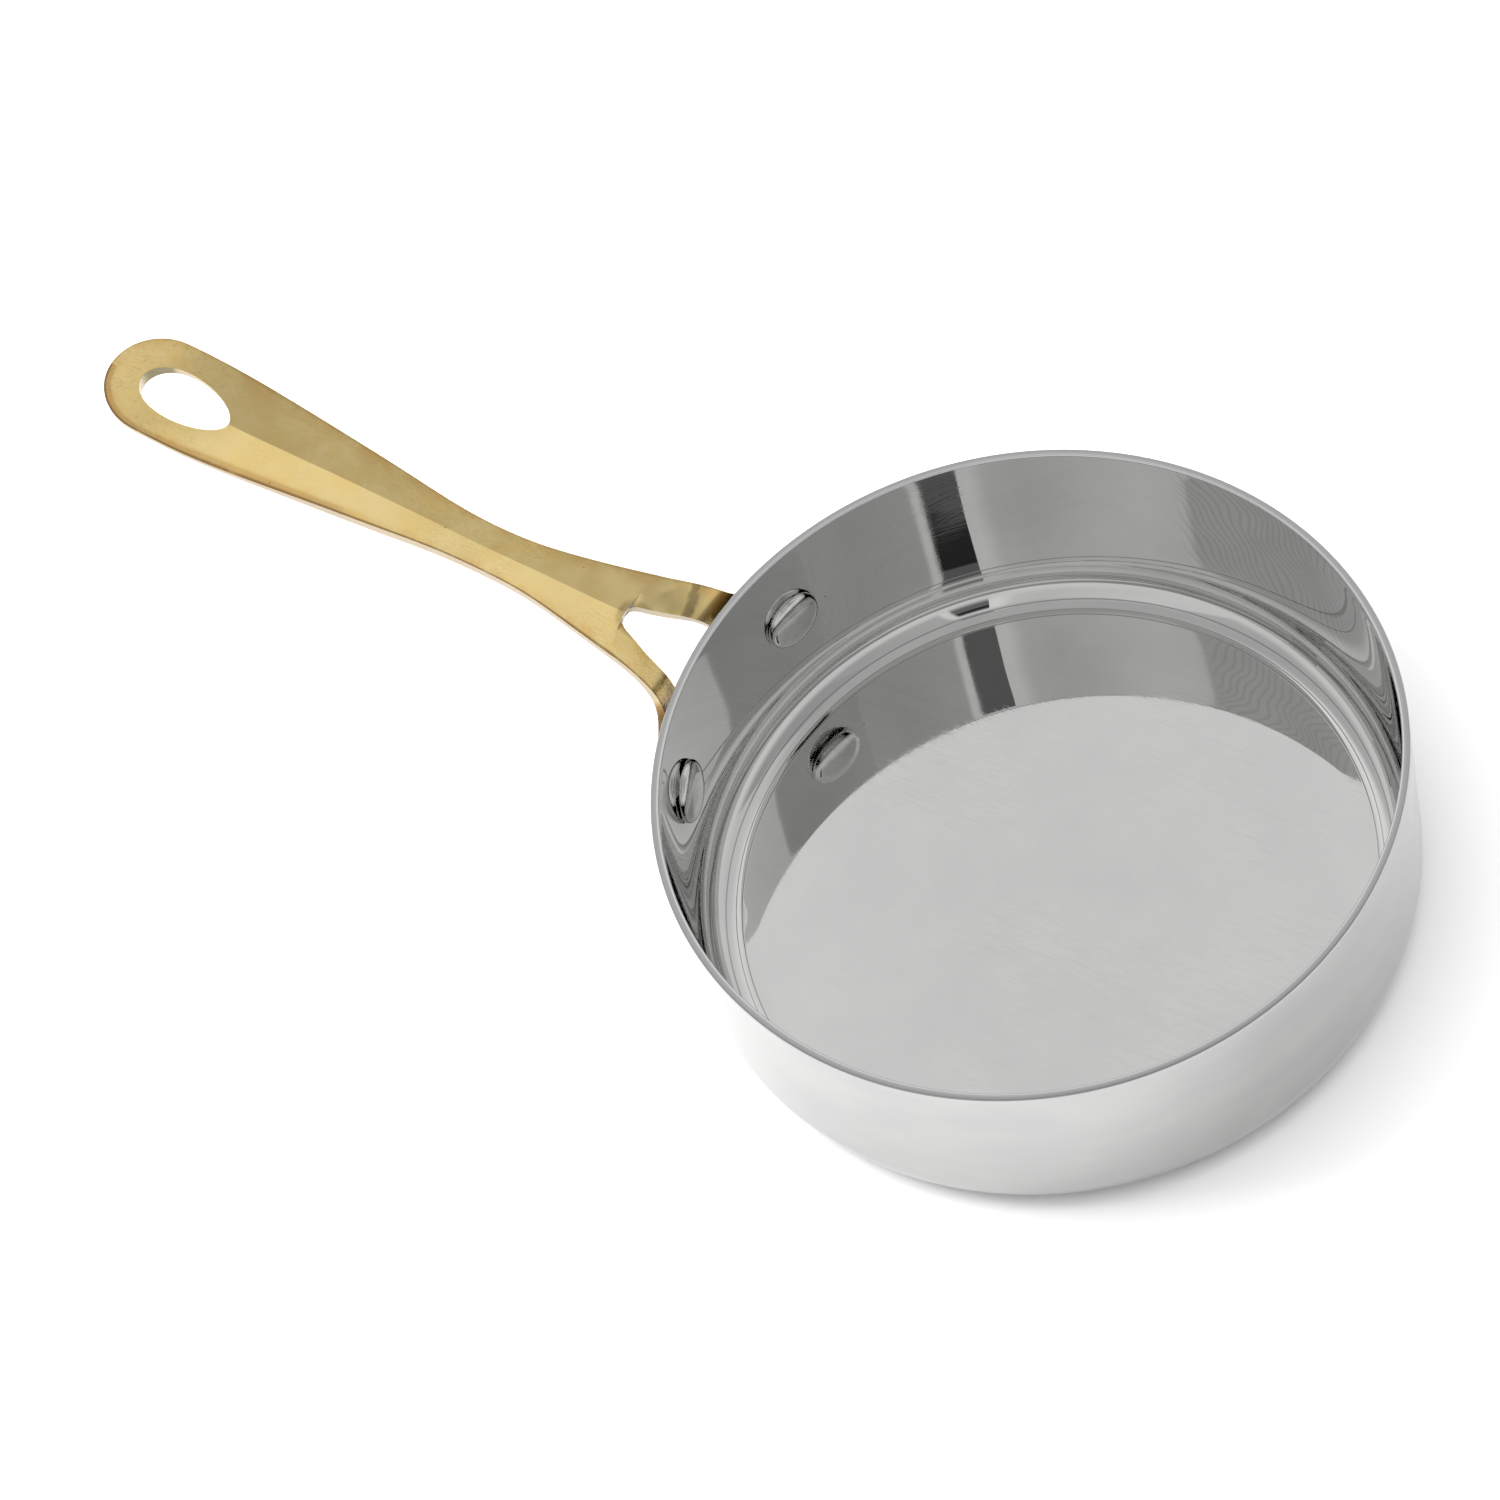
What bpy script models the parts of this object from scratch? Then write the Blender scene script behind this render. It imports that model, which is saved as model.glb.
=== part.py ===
"""Small straight-sided saucepan with a cast brass handle, as separate solids.

Pieces: pan_body, handle, rivet_left, rivet_right.  Metres, +Z up.
Origin: centre of the flat underside.  The handle reaches out towards -X.
"""
import math

import bmesh
import bpy
import numpy as np
from mathutils import Matrix, Vector

# ---- driving dimensions, metres ----------------------------------------------------------
MM = 0.001
COLLECTION = "copper_saucepan"

# pan body
PAN_HEIGHT = 62.7 * MM
RIM_RADIUS = 100.0 * MM          # outside, at the rim
BASE_RADIUS = 98.6 * MM          # outside, where the wall meets the corner
CORNER_RADIUS = 12.5 * MM        # outside corner between wall and floor
SHEET = 2.3 * MM                 # wall and floor thickness
RIM_ROUND = 0.5 * MM
PAN_STEPS = 96

# gap left between pieces that touch
FIT_GAP = 0.3 * MM

# handle: the top face is a shallow V trough between two raised edges
ARM_THICKNESS = 3.0 * MM
TIP_EDGE_SHARE = 0.5             # part of the thickness left along the edge at the wide end
LEG_EDGE_SHARE = 0.8             # and where the legs leave the arm
ARM_EDGE_ROUND = 0.6 * MM
TROUGH_SLOPE = 0.17              # rise of the trough sides where the arm starts to widen
WAIST_SLOPE = 0.08               # and at the waist and fork; it fades out beside the hole
TIP_REACH = 277.7 * MM           # pan axis to handle tip
TIP_RADIUS = 15.1 * MM
HOLE_CENTRE = 255.2 * MM         # pan axis to middle of the hanging hole
HOLE_HALF_LENGTH = 12.9 * MM
HOLE_HALF_WIDTH = 7.4 * MM
HOLE_TAPER = 0.12                # the end nearer the tip is the wider one
HOLE_THIN = 0.6                  # part of the full thickness left beside the hole
HOLE_THICK = 1.25                # and at its end nearer the tip
HOLE_ROWS = 19                   # rows of the skin round half of the hole
ARM_ROWS = 26                    # from the hole to the fork
LEG_ROWS = 30                    # from the fork to the end of the ear
CROTCH_REACH = 121.9 * MM        # where the arm forks into two legs

# rivets
RIVET_ANGLE = math.radians(17.9)     # each side of the handle's centre plane
RIVET_DEPTH = 25.4 * MM              # below the rim
RIVET_SHANK = 3.2 * MM
INNER_HEAD_RADIUS = 8.7 * MM
INNER_HEAD_HEIGHT = 3.5 * MM
OUTER_HEAD_RADIUS = 7.2 * MM
OUTER_HEAD_HEIGHT = 3.2 * MM
HEAD_EDGE = 0.9 * MM
RIVET_STEPS = 40

# arm: reach from the pan axis, half width, height of the edge above the rim
ARM_TABLE = np.array([
    (277.7, 0.0, 39.0), (264.0, 15.1, 36.3), (250.0, 15.1, 32.6), (230.0, 13.6, 27.8),
    (210.0, 11.4, 23.3), (190.0, 9.1, 18.4), (175.0, 7.4, 14.6), (160.0, 7.0, 11.2),
    (150.0, 7.6, 9.4), (140.0, 9.2, 7.5), (130.0, 11.3, 5.5), (119.5, 13.6, 3.8),
]) * MM

# one leg from the fork, over the bend and down the wall: reach, sideways, height from rim
LEG_INNER = np.array([
    (121.9, 0.0, 2.6), (121.8, 1.5, 2.55), (120.9, 3.0, 1.9), (118.2, 4.4, 0.5),
    (114.0, 6.2, -1.5), (110.0, 7.8, -2.9), (106.0, 9.2, -4.7), (103.4, 10.3, -7.6),
    (101.3, 11.8, -12.2), (100.2, 14.6, -18.5),
]) * MM
LEG_OUTER = np.array([
    (119.5, 13.6, 3.8), (118.2, 13.85, 3.6), (116.2, 14.3, 3.3), (112.6, 15.3, 2.6),
    (109.0, 16.4, 1.6), (105.9, 17.5, 0.2), (103.3, 18.7, -1.9), (101.2, 20.9, -5.1),
    (100.2, 26.0, -10.2),
]) * MM
EAR_RADIUS = 10.4 * MM           # rounded end of the leg, about the rivet
EAR_HEADING = math.radians(-45.0)    # way the leg runs across the wall when it gets there


def clear_scene():
    for obj in list(bpy.data.objects):
        bpy.data.objects.remove(obj, do_unlink=True)
    for block in (bpy.data.meshes, bpy.data.curves, bpy.data.materials, bpy.data.collections):
        for item in list(block):
            block.remove(item)


def make_collection(name, hidden=False):
    collection = bpy.data.collections.new(name)
    bpy.context.scene.collection.children.link(collection)
    collection.hide_render = hidden
    return collection


def make_material(name, colour, metallic, roughness):
    material = bpy.data.materials.new(name)
    material.use_nodes = True
    shader = material.node_tree.nodes["Principled BSDF"]
    shader.inputs["Base Color"].default_value = (*colour, 1.0)
    shader.inputs["Metallic"].default_value = metallic
    shader.inputs["Roughness"].default_value = roughness
    return material


def new_object(name, mesh, collection, material=None):
    obj = bpy.data.objects.new(name, mesh)
    collection.objects.link(obj)
    if material:
        mesh.materials.append(material)
    return obj


def arc(centre_r, centre_z, radius, start, end, count):
    """Points on a circular arc in the (radius, height) plane, angles in degrees."""
    angles = np.radians(np.linspace(start, end, count))
    return [(centre_r + radius * math.cos(a), centre_z + radius * math.sin(a)) for a in angles]


def screw_object(name, profile, steps, collection, material):
    """Turn a (radius, height) profile about Z.  The profile runs down the outer side."""
    mesh = bpy.data.meshes.new(name)
    mesh.from_pydata([(r, 0.0, z) for r, z in profile], [(i, i + 1) for i in range(len(profile) - 1)], [])
    obj = new_object(name, mesh, collection, material)
    screw = obj.modifiers.new("turn", "SCREW")
    screw.axis = "Z"
    screw.steps = steps
    screw.render_steps = steps
    screw.use_merge_vertices = True
    screw.merge_threshold = 0.00001
    screw.use_smooth_shade = True
    return obj


def wall_radius(height):
    """Outside radius of the pan wall at a height above the underside."""
    share = (height - CORNER_RADIUS) / (PAN_HEIGHT - CORNER_RADIUS)
    return BASE_RADIUS + (RIM_RADIUS - BASE_RADIUS) * share


def pan_profile():
    """Section of the pan: down the outside, across the underside, back up the inside."""
    inner_corner = CORNER_RADIUS - SHEET
    outer_top = PAN_HEIGHT - RIM_ROUND
    points = arc(RIM_RADIUS - RIM_ROUND, outer_top, RIM_ROUND, 90, 0, 4)
    points += [(wall_radius(z), z) for z in np.linspace(outer_top, CORNER_RADIUS, 5)[1:-1]]
    points += arc(BASE_RADIUS - CORNER_RADIUS, CORNER_RADIUS, CORNER_RADIUS, 0, -90, 10)
    points += [(0.0, 0.0), (0.0, SHEET)]
    points += arc(BASE_RADIUS - CORNER_RADIUS, CORNER_RADIUS, inner_corner, -90, 0, 9)
    points += [(wall_radius(z) - SHEET, z) for z in np.linspace(CORNER_RADIUS, outer_top, 5)[1:-1]]
    points += arc(RIM_RADIUS - SHEET + RIM_ROUND, outer_top, RIM_ROUND, 180, 90, 4)
    points.append(points[0])
    return points


def natural_spline(rows, count):
    """Smooth curve through the given rows, resampled at equal parameter steps."""
    rows = np.asarray(rows, float)
    knots = np.r_[0.0, np.cumsum(np.linalg.norm(np.diff(rows, axis=0), axis=1))]
    steps = np.diff(knots)
    size = len(rows)
    matrix = np.eye(size)
    right = np.zeros_like(rows)
    for i in range(1, size - 1):
        matrix[i, i - 1:i + 2] = (steps[i - 1], 2.0 * (steps[i - 1] + steps[i]), steps[i])
        slope_after = (rows[i + 1] - rows[i]) / steps[i]
        slope_before = (rows[i] - rows[i - 1]) / steps[i - 1]
        right[i] = 6.0 * (slope_after - slope_before)
    bend = np.linalg.solve(matrix, right)
    out = []
    for t in np.linspace(0.0, knots[-1], count):
        i = min(int(np.searchsorted(knots, t, side="right")) - 1, size - 2)
        h = steps[i]
        a = (knots[i + 1] - t) / h
        b = 1.0 - a
        curve = (a ** 3 - a) * bend[i] + (b ** 3 - b) * bend[i + 1]
        out.append(a * rows[i] + b * rows[i + 1] + curve * h * h / 6.0)
    return np.array(out)


def edge_height(reach):
    table = natural_spline(ARM_TABLE[:, [0, 2]], 200)
    return float(np.interp(reach, table[::-1, 0], table[::-1, 1]))


def arm_half_width(reach):
    """Half width of the arm between the fork and the round tip."""
    table = natural_spline(ARM_TABLE[1:, :2], 200)
    return float(np.interp(reach, table[::-1, 0], table[::-1, 1]))


def top_height(reach, side):
    """Height of the arm's top face: the trough falls from the edges to the middle."""
    past_centre = reach - (TIP_REACH - TIP_RADIUS)
    if past_centre > 0.0:
        half_width = math.sqrt(max(TIP_RADIUS ** 2 - past_centre ** 2, 0.0))
    else:
        half_width = arm_half_width(reach)
    slope = TROUGH_SLOPE * smooth_step((266.0 * MM - reach) / (28.0 * MM))
    slope += (WAIST_SLOPE - TROUGH_SLOPE) * smooth_step((238.0 * MM - reach) / (65.0 * MM))
    return edge_height(reach) - slope * max(half_width - side, 0.0)


def hole_stations(count):
    """Station pairs round half of the hanging hole, from the tip side to the pan side."""
    pairs = []
    tip_centre = TIP_REACH - TIP_RADIUS
    last_reach = HOLE_CENTRE - HOLE_HALF_LENGTH - 1.5 * MM
    for angle in np.linspace(0.0, math.pi, count):
        reach = HOLE_CENTRE + HOLE_HALF_LENGTH * math.cos(angle)
        side = HOLE_HALF_WIDTH * math.sin(angle) * (1.0 + HOLE_TAPER * math.cos(angle))
        tip_angle = angle * 0.9
        if tip_angle < math.pi / 2:
            outer = (tip_centre + TIP_RADIUS * math.cos(tip_angle), TIP_RADIUS * math.sin(tip_angle))
        else:
            share = (tip_angle - math.pi / 2) / (0.4 * math.pi)
            outer_reach = tip_centre + (last_reach - tip_centre) * share
            outer = (outer_reach, arm_half_width(outer_reach))
        pairs.append(((reach, side if 0.0 < angle < math.pi else 0.0), outer))
    return pairs


def arm_stations(start, end, count):
    """Station pairs along the arm between two (middle reach, edge reach) pairs."""
    pairs = []
    for share in np.linspace(0.0, 1.0, count):
        inner = start[0] + (end[0] - start[0]) * share
        outer = start[1] + (end[1] - start[1]) * share
        pairs.append(((inner, 0.0), (outer, arm_half_width(outer))))
    return pairs


def leg_stations(count):
    """Station pairs (reach, sideways, height) over the bend, down the ear and round the rivet."""
    rivet_height = -RIVET_DEPTH
    rivet_side = flush_reach(rivet_height) * math.sin(RIVET_ANGLE)
    along = np.array([math.cos(EAR_HEADING), math.sin(EAR_HEADING)])
    across = np.array([-along[1], along[0]])
    inner = [tuple(row) for row in LEG_INNER]
    outer = [tuple(row) for row in LEG_OUTER]
    for angle in np.radians((5.0, 25.0, 45.0, 63.0, 79.0)):
        for side, curve in ((-1.0, inner), (1.0, outer)):
            point = np.array([rivet_side, rivet_height])
            point = point + EAR_RADIUS * (side * math.cos(angle) * across + math.sin(angle) * along)
            curve.append((flush_reach(point[1]), point[0], point[1]))
    inner = natural_spline(inner, count)
    outer = natural_spline(outer, count)
    for curve in (inner, outer):
        curve[:, 0] = [max(row[0], flush_reach(row[2])) for row in curve]
    return list(zip(inner, outer))


def flush_reach(height):
    """Reach of the leg's top face where it turns down and lies against the wall."""
    return wall_radius(PAN_HEIGHT + height) + FIT_GAP


def smooth_step(value):
    value = min(max(value, 0.0), 1.0)
    return value * value * (3.0 - 2.0 * value)


def handle_rows():
    """Rows of points across one half of the handle's top face, tip to ear.

    Each row is (inner point, outer point, inner and outer shares of the thickness); a point
    is (reach from the pan axis, sideways, height above the rim).
    """
    rows = []
    hole = hole_stations(HOLE_ROWS)
    last = (hole[-1][0][0], hole[-1][1][0])
    arm = arm_stations(last, (CROTCH_REACH, ARM_TABLE[-1, 0]), ARM_ROWS)[1:]
    for index, (inner, outer) in enumerate(hole + arm):
        beside_hole = 1.0 - smooth_step((index - HOLE_ROWS + 1) / 8.0)
        share = 1.0 - (1.0 - HOLE_THIN) * beside_hole
        share += (HOLE_THICK - HOLE_THIN) * smooth_step((10 - index) / 10.0)
        wide_end = 1.0 - smooth_step((250.0 * MM - outer[0]) / (60.0 * MM))
        fork_end = smooth_step((150.0 * MM - outer[0]) / (30.0 * MM))
        edge = 1.0 - (1.0 - TIP_EDGE_SHARE) * wide_end - (1.0 - LEG_EDGE_SHARE) * fork_end
        rows.append(((*inner, top_height(*inner)), (*outer, top_height(*outer)), share, edge))
    for inner, outer in leg_stations(LEG_ROWS)[1:]:
        flush = smooth_step((113.0 * MM - outer[0]) / (9.0 * MM))
        edge = LEG_EDGE_SHARE + (1.0 - LEG_EDGE_SHARE) * flush
        rows.append((tuple(inner), tuple(outer), 1.0, edge))
    return rows


def row_directions(rows):
    """Way through the thickness at each row, as (reach, height): down along the arm, then
    turning outwards as the legs bend down the wall."""
    middle = [((a[0] + b[0]) / 2.0, (a[2] + b[2]) / 2.0) for a, b, _, _ in rows]
    out = []
    for index in range(len(rows)):
        before = middle[max(index - 1, 0)]
        after = middle[min(index + 1, len(rows) - 1)]
        run = np.array([after[0] - before[0], after[1] - before[1]])
        if rows[index][1][0] > ARM_TABLE[-1, 0]:
            run = np.array([-1.0, 0.0])
        run = run / np.linalg.norm(run)
        out.append(np.array([-run[1], run[0]]))
    for _ in range(3):
        out = [out[0]] + [a + b + c for a, b, c in zip(out, out[1:], out[2:])] + [out[-1]]
        out = [way / np.linalg.norm(way) for way in out]
    return out


def handle_mesh(name, cells=6):
    """Half of the handle as a closed skin, open only where the mirrored half joins it."""
    mesh = bpy.data.meshes.new(name)
    bm = bmesh.new()
    rows = handle_rows()
    top = []
    under = []
    for (inner, outer, inner_share, outer_share), way in zip(rows, row_directions(rows)):
        top_line = []
        under_line = []
        for j in range(cells + 1):
            share = j / cells
            reach, side, height = (a + (b - a) * share for a, b in zip(inner, outer))
            if outer[0] > ARM_TABLE[-1, 0]:
                height = top_height(reach, side)
            middle = 1.0 - (2.0 * share - 1.0) ** 2
            flat = inner_share + (outer_share - inner_share) * share
            depth = ARM_THICKNESS * (flat + 0.12 * middle * (1.0 - flat))
            x = -math.sqrt(reach * reach - side * side)
            outward = np.array([x, -side]) / reach * way[0] * depth
            if inner[1] == 0.0 and j == 0:
                outward[1] = 0.0
            top_line.append(bm.verts.new((x, -side, PAN_HEIGHT + height)))
            below = (x + outward[0], -side + outward[1], PAN_HEIGHT + height + way[1] * depth)
            under_line.append(bm.verts.new(below))
        top.append(top_line)
        under.append(under_line)
    for i in range(len(rows) - 1):
        for j in range(cells):
            bm.faces.new((top[i][j], top[i][j + 1], top[i + 1][j + 1], top[i + 1][j]))
            bm.faces.new((under[i][j], under[i + 1][j], under[i + 1][j + 1], under[i][j + 1]))
        bm.faces.new((top[i][-1], under[i][-1], under[i + 1][-1], top[i + 1][-1]))
        if rows[i][0][1] > 0.0 or rows[i + 1][0][1] > 0.0:
            bm.faces.new((top[i + 1][0], under[i + 1][0], under[i][0], top[i][0]))
    for j in range(cells):
        bm.faces.new((top[-1][j], top[-1][j + 1], under[-1][j + 1], under[-1][j]))
    bmesh.ops.recalc_face_normals(bm, faces=bm.faces)
    bm.to_mesh(mesh)
    bm.free()
    return mesh


def build_handle(collection, material):
    obj = new_object("handle", handle_mesh("handle"), collection, material)
    mirror = obj.modifiers.new("both_sides", "MIRROR")
    mirror.use_axis = (False, True, False)
    mirror.merge_threshold = 0.00002
    bevel = obj.modifiers.new("soft_edges", "BEVEL")
    bevel.width = ARM_EDGE_ROUND
    bevel.segments = 2
    bevel.limit_method = "ANGLE"
    bevel.angle_limit = math.radians(55.0)
    return obj


def rivet_frame(side):
    """Place a turned piece so its +Z points out through the wall at the rivet."""
    height = PAN_HEIGHT - RIVET_DEPTH
    lean = math.atan2(RIM_RADIUS - BASE_RADIUS, PAN_HEIGHT - CORNER_RADIUS)
    angle = math.pi - side * RIVET_ANGLE
    outward = Vector((math.cos(angle), math.sin(angle), 0.0))
    spot = outward * wall_radius(height) + Vector((0.0, 0.0, height))
    turn = Matrix.Rotation(angle, 4, "Z") @ Matrix.Rotation(math.pi / 2 + lean, 4, "Y")
    return Matrix.Translation(spot) @ turn


def rivet_profile():
    """Section of a rivet; z = 0 lies on the outside of the pan wall."""
    sag_inside = INNER_HEAD_RADIUS ** 2 / (2.0 * (RIM_RADIUS - SHEET))
    inner_back = -(SHEET + FIT_GAP + sag_inside)
    outer_back = 2.0 * FIT_GAP + ARM_THICKNESS
    points = dome(outer_back, OUTER_HEAD_RADIUS, OUTER_HEAD_HEIGHT, 1.0)
    points += [(RIVET_SHANK, outer_back), (RIVET_SHANK, inner_back)]
    points += dome(inner_back, INNER_HEAD_RADIUS, INNER_HEAD_HEIGHT, -1.0)[::-1]
    return points


def dome(back, radius, height, way):
    """Low domed head from its crown out to its back face."""
    points = []
    for share in np.linspace(0.0, 1.0, 8):
        angle = share * math.pi / 2
        rise = HEAD_EDGE + (height - HEAD_EDGE) * math.cos(angle) ** 0.9
        points.append((radius * math.sin(angle) ** 1.05, back + way * rise))
    points.append((radius, back))
    return points


def build_rivet(name, side, collection, material):
    obj = screw_object(name, rivet_profile(), RIVET_STEPS, collection, material)
    obj.matrix_world = rivet_frame(side)
    return obj


def cut_rivet_hole(target, side, cutters):
    mesh = bpy.data.meshes.new("rivet_hole")
    bm = bmesh.new()
    bmesh.ops.create_cone(bm, cap_ends=True, segments=32, radius1=RIVET_SHANK + FIT_GAP,
                          radius2=RIVET_SHANK + FIT_GAP, depth=40.0 * MM)
    bm.to_mesh(mesh)
    bm.free()
    cutter = new_object(target.name + "_rivet_hole_%d" % (side > 0), mesh, cutters)
    cutter.matrix_world = rivet_frame(side)
    cutter.display_type = "WIRE"
    cutter.hide_render = True
    cut = target.modifiers.new("rivet_hole_%d" % (side > 0), "BOOLEAN")
    cut.operation = "DIFFERENCE"
    cut.solver = "EXACT"
    cut.object = cutter


def main():
    clear_scene()
    parts = make_collection(COLLECTION)
    cutters = make_collection(COLLECTION + "_cutters", hidden=True)
    steel = make_material("polished_steel", (0.60, 0.60, 0.59), 1.0, 0.12)
    brass = make_material("cast_brass", (0.78, 0.58, 0.26), 1.0, 0.28)
    rivet_metal = make_material("rivet_steel", (0.66, 0.66, 0.65), 1.0, 0.14)
    other_rivet = make_material("rivet_steel_right", (0.66, 0.66, 0.65), 1.0, 0.14)
    pan = screw_object("pan_body", pan_profile(), PAN_STEPS, parts, steel)
    handle = build_handle(parts, brass)
    build_rivet("rivet_left", 1.0, parts, rivet_metal)
    build_rivet("rivet_right", -1.0, parts, other_rivet)
    for side in (1.0, -1.0):
        cut_rivet_hole(pan, side, cutters)
        cut_rivet_hole(handle, side, cutters)


main()
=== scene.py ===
"""Looks of the saucepan: finely turned pan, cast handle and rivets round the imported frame."""

import math

import bmesh
import bpy
import numpy as np
from mathutils import Matrix, Vector


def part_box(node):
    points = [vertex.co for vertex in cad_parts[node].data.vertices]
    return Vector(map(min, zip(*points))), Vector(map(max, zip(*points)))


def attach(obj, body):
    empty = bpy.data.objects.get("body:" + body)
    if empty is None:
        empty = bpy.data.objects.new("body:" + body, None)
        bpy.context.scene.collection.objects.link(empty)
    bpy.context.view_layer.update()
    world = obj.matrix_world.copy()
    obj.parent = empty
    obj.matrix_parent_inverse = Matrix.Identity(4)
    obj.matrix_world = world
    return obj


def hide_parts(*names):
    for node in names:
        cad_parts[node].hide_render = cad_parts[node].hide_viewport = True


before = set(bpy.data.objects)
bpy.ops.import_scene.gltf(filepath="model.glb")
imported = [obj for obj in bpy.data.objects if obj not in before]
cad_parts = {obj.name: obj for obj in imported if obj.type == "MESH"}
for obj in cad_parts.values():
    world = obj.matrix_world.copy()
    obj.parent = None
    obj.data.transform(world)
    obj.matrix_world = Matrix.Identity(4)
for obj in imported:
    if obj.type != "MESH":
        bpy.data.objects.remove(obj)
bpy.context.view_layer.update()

MM = 0.001

# ---- sizes, all in the frame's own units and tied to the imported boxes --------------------
PAN_LOW, PAN_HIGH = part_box("pan_body")
PAN_HEIGHT = PAN_HIGH[2]
RIM_RADIUS = PAN_HIGH[1]
BASE_RADIUS = RIM_RADIUS - 1.4 * MM      # outside, where the wall meets the corner
CORNER_RADIUS = 12.5 * MM
SHEET = 2.3 * MM
RIM_ROUND = 0.55 * MM
FIT_GAP = 0.3 * MM
PAN_STEPS = 288
RIVET_STEPS = 96

HANDLE_TIP = -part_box("handle")[0][0]     # reach of the handle's tip from the pan axis
ARM_THICKNESS = 3.0 * MM

# ---- the way the pan is looked at ---------------------------------------------------------
CAMERA_PLACE = Vector((0.54693, -0.65644, 1.37510))
CAMERA_AIM = Vector((-0.07036, -0.02398, 0.0627))
CAMERA_ROLL = math.radians(-18.66)
LENS_MM = 144.0


# ---- node helpers -------------------------------------------------------------------------
class Nodes:
    """Short way to write node trees."""

    def __init__(self, tree):
        self.tree = tree

    def add(self, kind, inputs=None, **settings):
        node = self.tree.nodes.new(kind)
        for key, value in settings.items():
            setattr(node, key, value)
        for key, value in (inputs or {}).items():
            self.put(node.inputs[key], value)
        return node

    def put(self, socket, value):
        if isinstance(value, bpy.types.NodeSocket):
            self.tree.links.new(value, socket)
        else:
            socket.default_value = value

    def math(self, operation, a, b=0.0, clamp=False):
        return self.add("ShaderNodeMath", {0: a, 1: b}, operation=operation, use_clamp=clamp).outputs[0]

    def ramp(self, value, low, high, to_low=0.0, to_high=1.0):
        inputs = {"Value": value, "From Min": low, "From Max": high, "To Min": to_low, "To Max": to_high}
        return self.add("ShaderNodeMapRange", inputs, interpolation_type="SMOOTHSTEP").outputs[0]

    def mix(self, factor, a, b):
        node = self.add("ShaderNodeMix", data_type="RGBA")
        self.put(node.inputs[0], factor)
        self.put(node.inputs[6], a)
        self.put(node.inputs[7], b)
        return node.outputs[2]

    def mix_value(self, factor, a, b):
        node = self.add("ShaderNodeMix", data_type="FLOAT")
        self.put(node.inputs[0], factor)
        self.put(node.inputs[2], a)
        self.put(node.inputs[3], b)
        return node.outputs[0]

    def noise(self, vector, scale, detail=2.0, roughness=0.5, distortion=0.0):
        inputs = {"Vector": vector, "Scale": scale, "Detail": detail, "Roughness": roughness,
                  "Distortion": distortion}
        return self.add("ShaderNodeTexNoise", inputs).outputs[0]

    def combine(self, x, y, z):
        return self.add("ShaderNodeCombineXYZ", {0: x, 1: y, 2: z}).outputs[0]

    def product(self, first, *others):
        for other in others:
            first = self.math("MULTIPLY", first, other)
        return first

    def mapping(self, vector, rotation=(0, 0, 0), scale=(1, 1, 1)):
        inputs = {"Vector": vector, "Rotation": rotation, "Scale": scale}
        return self.add("ShaderNodeMapping", inputs).outputs[0]

    def bump(self, height, distance, normal=None):
        inputs = {"Height": height, "Distance": distance, "Strength": 1.0}
        if normal is not None:
            inputs["Normal"] = normal
        return self.add("ShaderNodeBump", inputs).outputs[0]


def new_material(name):
    material = bpy.data.materials.new(name)
    material.use_nodes = True
    nodes = Nodes(material.node_tree)
    shader = material.node_tree.nodes["Principled BSDF"]
    place = nodes.add("ShaderNodeTexCoord").outputs["Object"]
    return material, nodes, shader, place


def scratches(nodes, place, angle, density, length, thin, seed):
    """Thin straight marks lying one way in the XY plane, 0 to 1."""
    turned = nodes.mapping(place, rotation=(0, 0, angle), scale=(density / length, density, density))
    shifted = nodes.add("ShaderNodeVectorMath", {0: turned, 1: (seed, seed * 1.7, seed * 0.3)}).outputs[0]
    fine = nodes.noise(shifted, 1.0, 1.0, 0.5)
    off_line = nodes.math("ABSOLUTE", nodes.math("SUBTRACT", fine, 0.5))
    line = nodes.math("SUBTRACT", 1.0, nodes.product(off_line, 1.0 / thin), clamp=True)
    patch = nodes.noise(place, density * 0.02 + seed, 1.0, 0.5)
    return nodes.product(line, nodes.ramp(patch, 0.48, 0.62))


def outside_mask(nodes, radius, z):
    """1 on the outside of the pan's sheet, 0 on the inside, from the distance to its corner arc."""
    lean = (RIM_RADIUS - BASE_RADIUS) / (PAN_HEIGHT - CORNER_RADIUS)
    above = nodes.math("SUBTRACT", z, CORNER_RADIUS)
    out = nodes.math("SUBTRACT", radius, BASE_RADIUS - CORNER_RADIUS)
    out = nodes.math("SUBTRACT", out, nodes.product(nodes.math("MAXIMUM", above, 0.0), lean))
    out = nodes.math("MAXIMUM", out, 0.0)
    down = nodes.math("MINIMUM", above, 0.0)
    depth = nodes.math("SQRT", nodes.math("ADD", nodes.product(out, out), nodes.product(down, down)))
    return nodes.math("GREATER_THAN", depth, CORNER_RADIUS - 0.5 * SHEET)


def painted_reflection_bands(nodes, angle, z, inside):
    """Painted reflection: a contour-like pattern drawn into the colour on one stretch of the inner wall, only
    to match the tones reflected there.
    """
    drift = nodes.noise(nodes.combine(angle, nodes.product(z, 14.0), 0.0), 3.4, 1.0, 0.4)
    phase = nodes.math("SUBTRACT", nodes.product(angle, 210.0), nodes.product(z, 900.0))
    painted_reflection = nodes.math("SINE", nodes.math("ADD", phase, nodes.product(drift, 40.0)))
    stretch = nodes.product(nodes.ramp(angle, 1.66, 1.60), nodes.ramp(angle, 0.95, 1.10))
    above_corner = nodes.ramp(z, 16.0 * MM, 24.0 * MM)
    return nodes.product(nodes.ramp(painted_reflection, 0.0, 1.0), stretch, inside, above_corner)


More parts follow.
